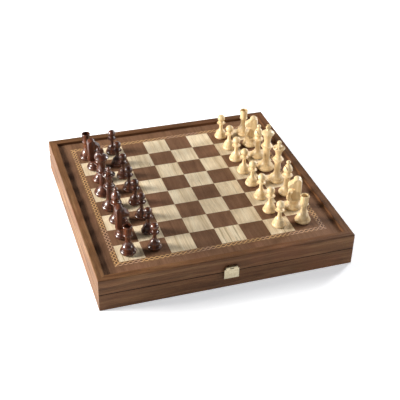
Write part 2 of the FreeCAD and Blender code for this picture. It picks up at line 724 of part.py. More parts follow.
def make_man(label, kind, x, y, turn):
    """A turned man and its felt, standing on the playing surface."""
    body = new_body(f"{label}_wood")
    sketch = new_sketch(body, "XZ")
    draw_outline(sketch, of_height(kind, [(0, 0)] + PROFILES[kind]))
    revolve(body, sketch)
    if kind in FINISHES:
        FINISHES[kind](body)
    place(body, z="Size.felt")
    felt = document.addObject("Part::Cylinder", f"{label}_felt")
    felt.Label = f"{label}_felt"
    felt.setExpression("Radius", f"Size.{kind}_height * {PROFILES[kind][0][0]} / 100 - Size.felt_margin")
    felt.setExpression("Height", "Size.felt")
    dx, dy = OFF_CENTRE.get(label, (0, 0))
    return place(group(label, [body, felt]), f"{x} + {dx}", f"{y} + {dy}", SURFACE, turn)


# The files run from the front of the case to the back, so file a is beside the front wall
FILES = "abcdefgh"
BACK_RANK = ["rook", "knight", "bishop", "queen", "king", "bishop", "knight", "rook"]

# How far some of the men stand off the middle of their squares, in x and y, in millimetres
OFF_CENTRE = {
    "light_queen": (3.4, 0), "light_bishop_c": (3.8, -0.5), "light_rook_h": (2.2, 0),
    "light_knight_g": (1.2, 0), "light_pawn_g": (1.3, 0),
    "dark_rook_a": (-1.7, -1), "dark_pawn_a": (-1, -1), "dark_queen": (-1.5, -1.5),
    "dark_king": (-2.9, 0), "dark_rook_h": (-5, -4),
}

# How far two of the men are turned from facing the other army, in degrees
TURNED = {"light_knight_b": -22, "light_knight_g": -20}


def make_army(colour, side):
    """Back rank and pawns of one colour. Side is 1 at the right of the board and -1 at the left."""
    men = []
    for line, (letter, kind) in enumerate(zip(FILES, BACK_RANK)):
        name = kind if kind in ("king", "queen") else f"{kind}_{letter}"
        y = f"Size.square * {line - 3.5}"
        turn = (180 if side == 1 else 0) + TURNED.get(f"{colour}_{name}", 0)
        men.append(make_man(f"{colour}_{name}", kind, f"Size.square * {side * 3.5}", y, turn))
        men.append(make_man(f"{colour}_pawn_{letter}", "pawn", f"Size.square * {side * 2.5}", y, turn))
    return men


# ---------------------------------------------------------------------------------------------
# Build, check and write
# ---------------------------------------------------------------------------------------------
def check_document():
    document.recompute()
    failed = [item.Label for item in document.Objects
              if any(word in ("Invalid", "Error") for word in item.State)]
    if failed:
        raise RuntimeError("failed objects: " + ", ".join(failed))


def write_parts(parts):
    os.makedirs("parts", exist_ok=True)
    for part in parts:
        shape = part.Shape
        if shape.isNull() or not shape.isValid() or not shape.Solids:
            raise RuntimeError(f"bad shape: {part.Label}")
    for part in parts:
        part.Shape.exportStep(f"parts/{part.Label}.step")
        print(f"{part.Label}: {len(part.Shape.Solids)} solids, {part.Shape.Volume / 1000:.2f} cm3")


parts = [make_wall(part, side) for part in ("base", "lid") for side in WALL_TURNS]
parts += make_panels()
parts += make_squares()
parts += [make_inlay_band(), make_border_veneer()]
parts += make_hinges()
parts += make_clasp()
parts += make_army("light", 1)
parts += make_army("dark", -1)
check_document()
write_parts(parts)
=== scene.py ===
"""Chess set on a hinged walnut case: looks, light and camera round the CAD frame.

Every CAD node gets a material. The four knights and the clasp flap are replaced by finer meshes.

Lengths are in metres unless a name says otherwise. Node materials work in millimetres of the row
frame, because every piece keeps its origin at the row's origin.
"""
import math

import bpy
import numpy as np
from mathutils import Matrix, Vector


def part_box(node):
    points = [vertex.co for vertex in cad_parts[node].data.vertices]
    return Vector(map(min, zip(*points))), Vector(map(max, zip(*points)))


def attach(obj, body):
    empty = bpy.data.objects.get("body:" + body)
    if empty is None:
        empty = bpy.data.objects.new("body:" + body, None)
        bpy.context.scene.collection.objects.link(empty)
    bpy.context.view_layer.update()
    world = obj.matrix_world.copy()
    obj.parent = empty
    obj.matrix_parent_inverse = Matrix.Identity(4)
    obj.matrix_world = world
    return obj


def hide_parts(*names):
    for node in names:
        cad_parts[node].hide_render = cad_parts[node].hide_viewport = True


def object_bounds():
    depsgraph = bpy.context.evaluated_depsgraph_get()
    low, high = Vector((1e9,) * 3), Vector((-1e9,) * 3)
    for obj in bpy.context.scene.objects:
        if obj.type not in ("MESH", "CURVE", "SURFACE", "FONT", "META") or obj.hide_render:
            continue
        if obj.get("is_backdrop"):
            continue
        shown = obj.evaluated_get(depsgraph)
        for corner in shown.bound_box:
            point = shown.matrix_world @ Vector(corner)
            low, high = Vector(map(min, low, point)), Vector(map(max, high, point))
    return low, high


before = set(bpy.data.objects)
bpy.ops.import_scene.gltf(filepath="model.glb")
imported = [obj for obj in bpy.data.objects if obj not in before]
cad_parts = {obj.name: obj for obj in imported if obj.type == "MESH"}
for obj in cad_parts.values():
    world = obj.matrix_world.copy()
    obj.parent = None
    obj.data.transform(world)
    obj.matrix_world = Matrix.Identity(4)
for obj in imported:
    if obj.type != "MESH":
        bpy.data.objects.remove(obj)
cad_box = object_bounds()

MM = 0.001

# Sizes of the set in millimetres
SQUARE = 34.0
FIELD_HALF = 4 * SQUARE
INLAY_WIDTH = 8.0
FELT_THICKNESS = 0.8
PLAY_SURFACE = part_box("light_squares")[1].z / MM
FELT_TOP = PLAY_SURFACE + FELT_THICKNESS + 0.02
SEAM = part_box("base_front_wall")[1].z / MM
CASE_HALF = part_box("lid_right_wall")[1].x / MM


def add_object(name, data, material=None):
    """Object of the scene with a mesh, a light or a camera, and a mesh's material."""
    thing = bpy.data.objects.new(name, data)
    bpy.context.scene.collection.objects.link(thing)
    if material:
        paint(thing, material)
    return thing


def paint(thing, material):
    """Give an object one material in place of those it has."""
    thing.data.materials.clear()
    thing.data.materials.append(material)


# ---------------------------------------------------------------------------------------------
# Node materials
# ---------------------------------------------------------------------------------------------
class Shader:
    """One principled material and the nodes that feed it."""

    def __init__(self, name, **constants):
        self.material = bpy.data.materials.new(name)
        self.material.use_nodes = True
        self.tree = self.material.node_tree
        self.tree.nodes.clear()
        self.surface = self.node("ShaderNodeBsdfPrincipled")
        output = self.node("ShaderNodeOutputMaterial")
        self.tree.links.new(self.surface.outputs[0], output.inputs["Surface"])
        for socket, value in constants.items():
            self.surface.inputs[socket.replace("_", " ")].default_value = value
        coordinates = self.node("ShaderNodeTexCoord").outputs["Object"]
        self.place = self.vector("MULTIPLY", coordinates, (1 / MM,) * 3)

    def node(self, kind, **settings):
        node = self.tree.nodes.new(kind)
        for name, value in settings.items():
            setattr(node, name, value)
        return node

    def put(self, socket, value):
        """Link a socket to a value, or set it where the value is a constant."""
        if isinstance(value, bpy.types.NodeSocket):
            self.tree.links.new(value, socket)
        elif socket.type == "RGBA" and len(value) == 3:
            socket.default_value = (*value, 1)
        else:
            socket.default_value = value

    def math(self, operation, *values):
        node = self.node("ShaderNodeMath", operation=operation)
        for socket, value in zip(node.inputs, values):
            self.put(socket, value)
        return node.outputs[0]

    def vector(self, operation, *values):
        node = self.node("ShaderNodeVectorMath", operation=operation)
        for socket, value in zip(node.inputs, values):
            self.put(socket, value)
        return node.outputs["Value" if operation in ("LENGTH", "DISTANCE", "DOT_PRODUCT") else "Vector"]

    def split(self, vector):
        node = self.node("ShaderNodeSeparateXYZ")
        self.put(node.inputs[0], vector)
        return node.outputs

    def join(self, x, y, z):
        node = self.node("ShaderNodeCombineXYZ")
        for socket, value in zip(node.inputs, (x, y, z)):
            self.put(socket, value)
        return node.outputs[0]

    def noise(self, place, stretch, detail, roughness=0.5, distortion=0.0, colour=False):
        """Fractal noise of a place, with a frequency per millimetre along each axis."""
        node = self.node("ShaderNodeTexNoise")
        self.put(node.inputs["Vector"], self.vector("MULTIPLY", place, stretch))
        self.put(node.inputs["Scale"], 1.0)
        self.put(node.inputs["Detail"], detail)
        self.put(node.inputs["Roughness"], roughness)
        self.put(node.inputs["Distortion"], distortion)
        return node.outputs[1 if colour else 0]

    def step(self, value, low, high, start=0.0, end=1.0):
        """Smooth ramp of a value from start at low to end at high."""
        node = self.node("ShaderNodeMapRange", interpolation_type="SMOOTHSTEP")
        for socket, item in zip(node.inputs, (value, low, high, start, end)):
            self.put(socket, item)
        return node.outputs[0]

    def ramp(self, factor, *stops):
        """Colour of a factor, from stops that are each a position and a colour."""
        node = self.node("ShaderNodeValToRGB")
        self.put(node.inputs[0], factor)
        elements = node.color_ramp.elements
        while len(elements) < len(stops):
            elements.new(0.5)
        for element, (position, colour) in zip(elements, stops):
            element.position = position
            element.color = (*colour, 1)
        return node.outputs[0]

    def mix(self, factor, first, second, blend="MIX"):
        node = self.node("ShaderNodeMix", data_type="RGBA", blend_type=blend)
        self.put(node.inputs["Factor"], factor)
        sockets = [socket for socket in node.inputs if socket.type == "RGBA"]
        self.put(sockets[0], first)
        self.put(sockets[1], second)
        return [socket for socket in node.outputs if socket.type == "RGBA"][0]

    def shade(self, colour, factor):
        """Colour multiplied by a factor, which is 1 where the colour stays as it is."""
        return self.mix(1.0, colour, self.join(factor, factor, factor), "MULTIPLY")

    def random(self, place):
        """White noise of a place: a value and a colour."""
        node = self.node("ShaderNodeTexWhiteNoise", noise_dimensions="3D")
        self.put(node.inputs["Vector"], place)
        return node.outputs["Value"], node.outputs["Color"]

    def drift(self, place, stretch, reach):
        """Place moved by up to half the reach in millimetres, smoothly, so that straight grain wanders."""
        wander = self.noise(place, stretch, 2, colour=True)
        wander = self.vector("MULTIPLY", self.vector("SUBTRACT", wander, (0.5,) * 3), (reach,) * 3)
        return self.vector("ADD", place, wander)

    def finish(self, colour, roughness, height=None, depth_mm=0.05):
        """Material with this colour, roughness and height of the fine relief."""
        self.put(self.surface.inputs["Base Color"], colour)
        self.put(self.surface.inputs["Roughness"], roughness)
        if height is not None:
            bump = self.node("ShaderNodeBump")
            self.put(bump.inputs["Strength"], 1.0)
            self.put(bump.inputs["Distance"], depth_mm * MM)
            self.put(bump.inputs["Height"], height)
            self.put(self.surface.inputs["Normal"], bump.outputs[0])
        return self.material


def along(axis, lengthwise, across):
    """Noise frequencies per millimetre, one along the grain's axis and another across it."""
    return tuple(lengthwise if index == axis else across for index in range(3))


def cell_offset(shader, size, layer=0.0):
    """Random value and grain offset, in mm, for each square cell of the board."""
    cell = shader.vector("FLOOR", shader.vector("MULTIPLY", shader.place, (1 / size, 1 / size, 0)))
    value, colour = shader.random(shader.vector("ADD", cell, (0.37, 0.61, 0.5 + layer)))
    return value, shader.vector("MULTIPLY", colour, (900, 900, 900))


def wood(name, axis, dark, middle, light, cells=None, seed=0.0, pores=0.5, figure=1.0, rough=0.52,
         contrast=0.5, patches=0.0, patch_colour=None, cell_tone=0.0):
    """Open grained wood with the grain along one axis of the row frame.

    Cells is the side of the squares that are each cut from their own sheet, and cell_tone is how far
    they differ in tone. Patches is the strength of the large patches of patch_colour.
    """
    shader = Shader(name, Specular_IOR_Level=0.16)
    place = shader.vector("ADD", shader.place, (seed, seed * 1.7, seed * 0.6))
    if cells:
        cell_value, offset = cell_offset(shader, cells)
        place = shader.vector("ADD", place, offset)
    bent = shader.drift(place, along(axis, 0.008, 0.03), 14)
    growth = shader.noise(bent, along(axis, 0.004, 0.16 * figure), 3, 0.62)
    bands = shader.noise(bent, along(axis, 0.006, 0.7 * figure), 2)
    tone = shader.math("ADD", shader.math("MULTIPLY", growth, 0.68), shader.math("MULTIPLY", bands, 0.32))
    spread = 0.08 + 0.17 * contrast
    colour = shader.ramp(tone, (0.5 - spread, dark), (0.5, middle), (0.5 + spread, light))
    fibres = shader.noise(bent, along(axis, 0.05, 2.2), 3, 0.6)
    colour = shader.shade(colour, shader.step(fibres, 0.25, 0.75, 0.84, 1.14))
    pore_noise = shader.noise(bent, along(axis, 0.16, 3.6), 1, 0.4)
    pore = shader.step(pore_noise, 0.6, 0.68)
    colour = shader.shade(colour, shader.math("SUBTRACT", 1.0, shader.math("MULTIPLY", pore, pores)))
    if patches:
        patch = shader.step(shader.noise(place, (0.02, 0.02, 0.02), 2), 0.52, 0.72, 0, patches)
        colour = shader.mix(patch, colour, patch_colour)
    if cells:
        colour = shader.shade(colour, shader.step(cell_value, 0, 1, 1 - cell_tone, 1 + cell_tone))
    roughness = shader.math("ADD", shader.math("MULTIPLY", fibres, 0.16), rough - 0.08)
    height = shader.math("SUBTRACT", shader.math("MULTIPLY", fibres, 0.4), pore)
    return shader, colour, roughness, height


GREEN_FELT = (0.020, 0.050, 0.030)
WALNUT_DARK = (0.050, 0.019, 0.008)
WALNUT = (0.125, 0.053, 0.021)
WALNUT_LIGHT = (0.220, 0.100, 0.043)


def case_walnut(name, axis, seed, gold):
    """Walnut of a wall, with golden sapwood that is raised on the left walls as painted light, and painted
    shade in a thin dark line along the outside of the seam.
    """
    shader, colour, roughness, height = wood(
        name, axis, WALNUT_DARK, WALNUT, WALNUT_LIGHT, seed=seed, patches=0.3,
        patch_colour=(0.20, 0.070, 0.032), contrast=0.75, figure=1.3)
    # Golden sapwood streaks of the wood; where gold is raised, on the left walls, their paleness is painted
    # light from the key
    sapwood_and_painted_light = shader.noise(shader.place, along(axis, 0.012, 0.11), 3, 0.55)
    sapwood_and_painted_light = shader.step(sapwood_and_painted_light, 0.5, 0.66, gold * 0.25, gold)
    colour = shader.mix(sapwood_and_painted_light, colour, (0.42, 0.25, 0.12))
    x, y, z = shader.split(shader.place)
    # Painted shade: a thin band along the outside of the seam goes nearly black for the shade in the groove
    # between lid and base; inside faces keep their colour
    from_seam = shader.math("ABSOLUTE", shader.math("SUBTRACT", z, SEAM))
    reach = shader.math("MAXIMUM", shader.math("ABSOLUTE", x), shader.math("ABSOLUTE", y))
    shade = shader.step(from_seam, 0.35, 0.75, 0.06, 1.0)
    is_inside = shader.math("LESS_THAN", reach, CASE_HALF - 0.5)
    shade = shader.math("MAXIMUM", shade, is_inside)
    return shader.finish(shader.shade(colour, shade), roughness, height)


def veneer_walnut(name, axis, seed, cells=None):
    """Paler walnut of the playing surface."""
    shader, colour, roughness, height = wood(
        name, axis, (0.120, 0.060, 0.032), (0.188, 0.097, 0.053), (0.245, 0.132, 0.075), cells, seed,
        patches=0.3, patch_colour=(0.24, 0.105, 0.062), contrast=0.9, pores=0.35, cell_tone=0.10)
    return shader.finish(colour, roughness, height, 0.02)


def light_veneer():
    """Pale figured veneer with darker streaks along Y, and each square from its own sheet."""
    shader, colour, roughness, height = wood(
        "light_veneer", 1, (0.50, 0.37, 0.21), (0.76, 0.62, 0.42), (0.86, 0.77, 0.58), SQUARE, 3.0,
        pores=0.12, figure=0.8, contrast=0.85, cell_tone=0.05)
    value, offset = cell_offset(shader, SQUARE, 1.0)
    place = shader.vector("ADD", shader.place, offset)
    streak = shader.noise(place, (0.42, 0.012, 0.1), 3, 0.55)
    strength = shader.step(value, 0.35, 1.0, 0.15, 0.95)
    line = shader.math("MULTIPLY", shader.step(streak, 0.58, 0.68), strength)
    colour = shader.mix(line, colour, (0.35, 0.26, 0.135))
    return shader.finish(colour, roughness, height, 0.015)


def inlay():
    """Chain of golden rings with dark dots between two fine lines, all round the field."""
    shader = Shader("inlay", Coat_Weight=0.15, Coat_Roughness=0.3)
    x, y, _ = shader.split(shader.place)
    reach_x = shader.math("ABSOLUTE", x)
    reach_y = shader.math("ABSOLUTE", y)
    on_side = shader.math("GREATER_THAN", reach_x, reach_y)
    lengthwise = shader.math("ADD", shader.math("MULTIPLY", on_side, y), shader.math(
        "MULTIPLY", shader.math("SUBTRACT", 1.0, on_side), x))
    outward = shader.math("SUBTRACT", shader.math("MAXIMUM", reach_x, reach_y), FIELD_HALF)
    across = shader.math("SUBTRACT", outward, INLAY_WIDTH / 2)
    off_middle = shader.math("ABSOLUTE", across)

    # Two strands that cross between the rings
    pitch = SQUARE / 5
    swing = 2.35
    strand_half = 0.55
    turn = shader.math("MULTIPLY", lengthwise, math.pi / pitch)
    strand_place = shader.math("MULTIPLY", shader.math("ABSOLUTE", shader.math("COSINE", turn)), swing)
    beside = shader.math("ABSOLUTE", shader.math("SUBTRACT", off_middle, strand_place))
    beside = shader.math("MULTIPLY", beside, 0.75)
    gold = shader.step(beside, strand_half * 0.7, strand_half * 1.3, 1, 0)

    # Beaded line near each edge of the band
    from_line = shader.math("ABSOLUTE", shader.math("SUBTRACT", off_middle, INLAY_WIDTH / 2 - 0.55))
    line = shader.step(from_line, 0.25, 0.45, 1, 0)
    beads = shader.step(shader.math("SINE", shader.math("MULTIPLY", turn, 8)), -0.3, 0.3, 0.15, 0.6)
    gold = shader.math("MAXIMUM", gold, shader.math("MULTIPLY", line, beads))

    # Dark dot in the middle of each ring
    local = shader.math("SUBTRACT", shader.math("FRACT", shader.math(
        "ADD", shader.math("DIVIDE", lengthwise, pitch), 0.5)), 0.5)
    from_middle = shader.vector("LENGTH", shader.join(shader.math("MULTIPLY", local, pitch), across, 0.0))
    dot = shader.step(from_middle, 0.75, 1.05, 1, 0)

    grain = shader.noise(shader.place, (0.7, 0.7, 0.7), 4, 0.6)
    patch = shader.noise(shader.place, (0.03, 0.03, 0.03), 2)
    ground = shader.ramp(grain, (0.3, (0.080, 0.036, 0.016)), (0.7, (0.145, 0.068, 0.032)))
    ring_colour = shader.ramp(grain, (0.3, (0.48, 0.26, 0.11)), (0.7, (0.72, 0.45, 0.20)))
    ring_colour = shader.mix(shader.step(patch, 0.45, 0.6), ring_colour, (0.50, 0.30, 0.19))
    colour = shader.mix(gold, ground, ring_colour)
    colour = shader.mix(dot, colour, (0.075, 0.034, 0.018))
    height = shader.math("MULTIPLY", gold, 0.5)
    return shader.finish(colour, shader.step(grain, 0.2, 0.8, 0.36, 0.5), height, 0.01)


def turned(name, dark, middle, light, rough, coat, coat_rough):
    """Turned wood with upright grain, and green felt below FELT_TOP."""
    shader = Shader(name, Coat_Weight=coat, Coat_Roughness=coat_rough)
    place = shader.place
    bent = shader.drift(place, (0.03, 0.03, 0.012), 9)
    growth = shader.noise(bent, (0.30, 0.13, 0.018), 3, 0.6)
    rings = shader.noise(bent, (1.5, 0.7, 0.03), 2)
    tone = shader.math("ADD", shader.math("MULTIPLY", growth, 0.65), shader.math("MULTIPLY", rings, 0.35))
    colour = shader.ramp(tone, (0.33, dark), (0.5, middle), (0.66, light))
    fibres = shader.noise(place, (3.2, 3.2, 0.14), 2)
    colour = shader.shade(colour, shader.step(fibres, 0.3, 0.7, 0.9, 1.08))
    is_felt = shader.math("LESS_THAN", shader.split(place)[2], FELT_TOP)
    fluff = shader.noise(place, (5, 5, 5), 3, 0.7)
    felt_colour = shader.shade(GREEN_FELT, shader.step(fluff, 0.2, 0.8, 0.6, 1.4))
    colour = shader.mix(is_felt, colour, felt_colour)
    roughness = shader.math("ADD", shader.math("MULTIPLY", fibres, 0.10), rough - 0.05)
    roughness = shader.math("MAXIMUM", roughness, shader.math("MULTIPLY", is_felt, 0.95))
    felt_height = shader.math("MULTIPLY", is_felt, fluff)
    height = shader.math("ADD", shader.math("MULTIPLY", fibres, 0.3), felt_height)
    return shader.finish(colour, roughness, height, 0.02)


def felt(name, dark, light):
    """Pressed felt with tangled fibres."""
    shader = Shader(name, Sheen_Weight=0.15, Sheen_Roughness=0.4, Specular_IOR_Level=0.1)
    tangle = shader.noise(shader.place, (2.2, 2.2, 2.2), 5, 0.75, 1.5)
    cloud = shader.noise(shader.place, (0.03, 0.03, 0.03), 2)
    colour = shader.ramp(tangle, (0.3, dark), (0.72, light))
    colour = shader.shade(colour, shader.step(cloud, 0.3, 0.7, 0.88, 1.12))
    return shader.finish(colour, 0.95, tangle, 0.25)


def brass():
    """Pale rolled brass: fine brushed lines along X, faint cloudy tarnish."""
    shader = Shader("brass", Metallic=1.0)
    brushed = shader.noise(shader.place, along(0, 0.25, 9.0), 2)
    cloud = shader.noise(shader.place, (0.35, 0.35, 0.35), 4, 0.6)
    colour = shader.ramp(cloud, (0.3, (0.52, 0.43, 0.27)), (0.62, (0.66, 0.58, 0.40)))
    colour = shader.shade(colour, shader.step(brushed, 0.3, 0.7, 0.93, 1.05))
    roughness = shader.step(cloud, 0.3, 0.7, 0.34, 0.22)
    roughness = shader.math("ADD", roughness, shader.math("MULTIPLY", brushed, 0.08))
    return shader.finish(colour, roughness, brushed, 0.006)


def plywood():
    """Pale panel wood, with plies on the edges."""
    shader, colour, roughness, height = wood(
        "plywood", 0, (0.36, 0.24, 0.13), (0.50, 0.36, 0.21), (0.60, 0.45, 0.28), pores=0.2, rough=0.6)
    z = shader.split(shader.place)[2]
    ply = shader.step(shader.math("SINE", shader.math("MULTIPLY", z, 4.2)), -0.1, 0.1, 0.86, 1.0)
    return shader.finish(shader.shade(colour, ply), roughness, height)


def floor_material():
    """Pale floor that also glows a little, so that shadows on it stay light."""
    shader = Shader("floor", Specular_IOR_Level=0.2)
    cloud = shader.noise(shader.place, (0.002, 0.002, 0.002), 2)
    colour = shader.ramp(cloud, (0.3, (0.90, 0.91, 0.93)), (0.7, (0.92, 0.925, 0.94)))
    shader.put(shader.surface.inputs["Emission Color"], (0.93, 0.965, 1.0))
    shader.put(shader.surface.inputs["Emission Strength"], 0.48)
    return shader.finish(colour, 0.7)


# Axis of the grain in the wall on each side, and how much pale sapwood colour a wall shows where it is not
# 0.1; the high values on the left walls are painted light, standing in for the key light that makes the left
# faces pale
WALL_GRAIN = {"front": 0, "back": 0, "left": 1, "right": 1}
SAPWOOD_AND_PAINTED_LIGHT = {"lid_left_wall": 0.38, "base_left_wall": 0.4, "lid_front_wall": 0.16}
# Material of each CAD node
MATERIALS = {
    "dark_squares": veneer_walnut("dark_veneer", 1, 11.0, SQUARE),
    "border_veneer": veneer_walnut("border_walnut", 1, 47.0),
    "light_squares": light_veneer(),
    "inlay_band": inlay(),
    "board_panel": plywood(),
    "base_floor_lining": felt("lining_felt", (0.045, 0.026, 0.017), (0.105, 0.062, 0.040)),
}
MATERIALS["base_floor_panel"] = MATERIALS["board_panel"]
MATERIALS["lid_lining"] = MATERIALS["base_floor_lining"]
for part, base_seed in (("base", 120.0), ("lid", 260.0)):
    for index, (side, axis) in enumerate(WALL_GRAIN.items()):
        node = f"{part}_{side}_wall"
        MATERIALS[node] = case_walnut(f"{node}_walnut", axis, base_seed + 31 * index, SAPWOOD_AND_PAINTED_LIGHT.get(node, 0.1))
polished_brass = brass()
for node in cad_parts:
    if node.startswith(("hinge_", "clasp_", "keeper_")):
        MATERIALS[node] = polished_brass
ARMIES = {
    "light": turned("boxwood", (0.62, 0.42, 0.20), (0.76, 0.57, 0.31), (0.84, 0.68, 0.42), 0.38, 0.2, 0.25),
    "dark": turned("lacquered_wood", (0.022, 0.005, 0.002), (0.064, 0.0145, 0.0047),
                   (0.165, 0.047, 0.0145), 0.36, 0.65, 0.05),
}
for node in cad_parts:
    if node not in MATERIALS:
        MATERIALS[node] = ARMIES[node.split("_")[0]]
for node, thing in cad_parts.items():
    paint(thing, MATERIALS[node])


# ---------------------------------------------------------------------------------------------
# Distance fields and the meshes made from them
# ---------------------------------------------------------------------------------------------
def arc_points(start, end, degrees, count=14):
    """Points after start on an arc to end, which bulges to the right for a positive angle."""
    half = math.radians(abs(degrees)) / 2
    chord = end - start
    length = np.hypot(*chord)
    right = np.array((chord[1], -chord[0])) / length * math.copysign(1, degrees)
    radius = length / 2 / math.sin(half)
    centre = (start + end) / 2 - right * radius * math.cos(half)
    angles = np.linspace(-half, half, count + 1)[1:]
    forward = chord / length
    return [centre + radius * (right * math.cos(a) + forward * math.sin(a)) for a in angles]


def outline_points(steps, scale):
    """Points of an outline whose steps are points, or points with the angle of an arc."""
    points = []
    for index, step in enumerate(steps):
        start = np.array(steps[index - 1][:2], float)
        end = np.array(step[:2], float)
        points += [end] if len(step) == 2 else arc_points(start, end, step[2])
    return np.array(points) * scale


def polygon_distance(px, py, points):
    """Signed distance to a closed polygon, negative inside."""
    best = np.full(px.shape, np.inf)
    inside = np.zeros(px.shape, bool)
    for (ax, ay), (bx, by) in zip(points, np.roll(points, -1, axis=0)):
        ex, ey = bx - ax, by - ay
        share = np.clip(((px - ax) * ex + (py - ay) * ey) / (ex * ex + ey * ey + 1e-12), 0, 1)
        best = np.minimum(best, np.hypot(px - ax - share * ex, py - ay - share * ey))
        crosses = (ay > py) != (by > py)
        inside ^= crosses & (px < ax + (py - ay) * ex / (ey if ey else 1e-12))
    return np.where(inside, -best, best)


def path_distance(px, py, points):
    """Distance to an open path."""
    best = np.full(px.shape, np.inf)
    for (ax, ay), (bx, by) in zip(points[:-1], points[1:]):
        ex, ey = bx - ax, by - ay
        share = np.clip(((px - ax) * ex + (py - ay) * ey) / (ex * ex + ey * ey), 0, 1)
        best = np.minimum(best, np.hypot(px - ax - share * ex, py - ay - share * ey))
    return best


def smooth_max(a, b, radius):
    """Larger of two fields, with the edge between them rounded."""
    blend = np.maximum(radius - np.abs(a - b), 0) / radius
    return np.maximum(a, b) + blend * blend * radius / 4


def surface_net(field, low, step):
    """Quad mesh of the zero surface of a field that is sampled on a grid."""
    inside = field < 0
    shape = np.array(field.shape) - 1
    total = np.zeros((*shape, 3))
    count = np.zeros(shape)
    corners = [(i, j, k) for i in (0, 1) for j in (0, 1) for k in (0, 1)]
    # A cell's vertex is the mean of the places where the surface crosses the cell's edges
    for corner in corners:
        for axis in range(3):
            if corner[axis]:
                continue
            other = tuple(c + (a == axis) for a, c in enumerate(corner))
            first = field[tuple(slice(c, c + n) for c, n in zip(corner, shape))]
            second = field[tuple(slice(c, c + n) for c, n in zip(other, shape))]
            crosses = (first < 0) != (second < 0)
            share = np.where(crosses, first / np.where(crosses, first - second, 1), 0)
            for a in range(3):
                total[..., a] += crosses * (corner[a] + (share if a == axis else 0))
            count += crosses
    used = count > 0
    index = np.full(shape, -1)
    index[used] = np.arange(used.sum())
    cells = np.argwhere(used)
    vertices = (cells + total[used] / count[used][:, None]) * step + low
    # Each edge that crosses the surface has a quad that joins the four cells round it
    quads = []
    for axis in range(3):
        b, c = (axis + 1) % 3, (axis + 2) % 3
        near = [slice(1, -1)] * 3
        near[axis] = slice(0, -1)
        far = list(near)
        far[axis] = slice(1, None)
        changes = np.argwhere(inside[tuple(near)] != inside[tuple(far)])
        offset = np.array([0 if a == axis else 1 for a in range(3)])
        at = changes + offset
        leaving = inside[tuple(at.T)]
        ring = []
        for db, dc in ((-1, -1), (0, -1), (0, 0), (-1, 0)):
            cell = at.copy()
            cell[:, b] += db
            cell[:, c] += dc
            ring.append(index[tuple(cell.T)])
        ring = np.stack(ring, 1)
        ring[~leaving] = ring[~leaving][:, ::-1]
        quads.append(ring)
    return vertices, np.concatenate(quads)


def new_mesh(name, vertices, faces):
    """Smooth shaded mesh from points in millimetres."""
    mesh = bpy.data.meshes.new(name)
    mesh.from_pydata((vertices * MM).tolist(), [], faces.tolist())
    mesh.validate()
    mesh.shade_smooth()
    return mesh


def spiral(centre, start_radius, end_radius, turns, start_degrees, count=40):
    """Points of a spiral that turns anticlockwise."""
    angles = math.radians(start_degrees) + np.linspace(0, turns * 2 * math.pi, count)
    radii = np.linspace(start_radius, end_radius, count)
    return np.stack([centre[0] + radii * np.cos(angles), centre[1] + radii * np.sin(angles)], 1)


def rounded_block(offsets, halves, radius):
    """Distance to a block with rounded edges, from the offsets to its middle."""
    outside = [np.abs(offset) - (half - radius) for offset, half in zip(offsets, halves)]
    beyond = np.sqrt(sum(np.maximum(part, 0) ** 2 for part in outside))
    within = np.minimum(np.maximum(np.maximum(outside[0], outside[1]), outside[2]), 0)
    return beyond + within - radius


# ---------------------------------------------------------------------------------------------
# Knights: carved from a turned blank. The outlines are in hundredths of the knight's height, each
# step a point and, where the way to it is an arc, the arc's angle in degrees.
# ---------------------------------------------------------------------------------------------
KNIGHT_HEIGHT = 48.0
KNIGHT_SCALE = KNIGHT_HEIGHT / 100
# Turned blank: radius and height
BLANK = [
    (0, 0), (20.6, 0), (20.6, 10.4, 100), (19, 10.4), (19, 13.6, 120), (18, 13.6),
    (15.6, 21, -50), (15.6, 24.6, 150), (17, 25.2), (20.6, 31, 60), (20.6, 101), (0, 101),
]
# What is sawn off in front of the head: curl, forehead, muzzle, jaw, notch, chest
FRONT = [
    (-30, 84), (-20.8, 84), (-12, 97.5, -62), (3.2, 92.5, -100), (3.4, 87.5, -40), (13.5, 80.5, -16),
    (18.6, 75, -60), (17.8, 69, -40), (12, 67.6, -30), (1, 68, 14), (-0.5, 64.8, 110), (6.5, 61.5, -10),
    (14, 54, -30), (16.8, 42, -16), (17.2, 32, -10), (30, 30), (30, 110), (-30, 110),
]
# Where the cheeks are flat, and their distance from the middle of the head
CHEEK = [
    (-40, 32.5), (4, 32.5), (11, 39.5, -50), (9.6, 49, -8), (3.6, 62.5, -8), (0.5, 66.5), (40, 66.5),
    (40, 115), (-40, 115),
]
CHEEK_HALF = 11.4
# Lines and places carved into the cheeks
CHEEK_LINE = [(-2.5, 82), (-4.4, 74, 60), (-1.8, 69, 30)]
MOUTH = [(16.9, 70.4), (12.5, 70.9), (9.5, 70.2)]
CURL_CENTRE = (-3.4, 92.4)
EYE = (5.2, 81.6)
NOSTRIL = (14.8, 73.6)
# How far some knights are turned from facing the other army, in degrees
TURNED = {"light_knight_b": -22, "light_knight_g": -20}


def revolved(radius, z, outline, step):
    """Field of an outline turned round the Z axis, at each radius of a plan and each z."""
    radii = np.arange(0, radius.max() + step, step / 2)
    lathe_r, lathe_z = np.meshgrid(radii, z, indexing="ij")
    lathe = polygon_distance(lathe_r, lathe_z, outline)
    on_axis = lathe_r < 1e-9
    lathe = np.where(on_axis, np.minimum(lathe, 0) - 0.01, lathe)
    place = radius / (step / 2)
    lower = np.minimum(place.astype(int), len(radii) - 2)
    share = (place - lower)[..., None]
    return lathe[lower] * (1 - share) + lathe[lower + 1] * share


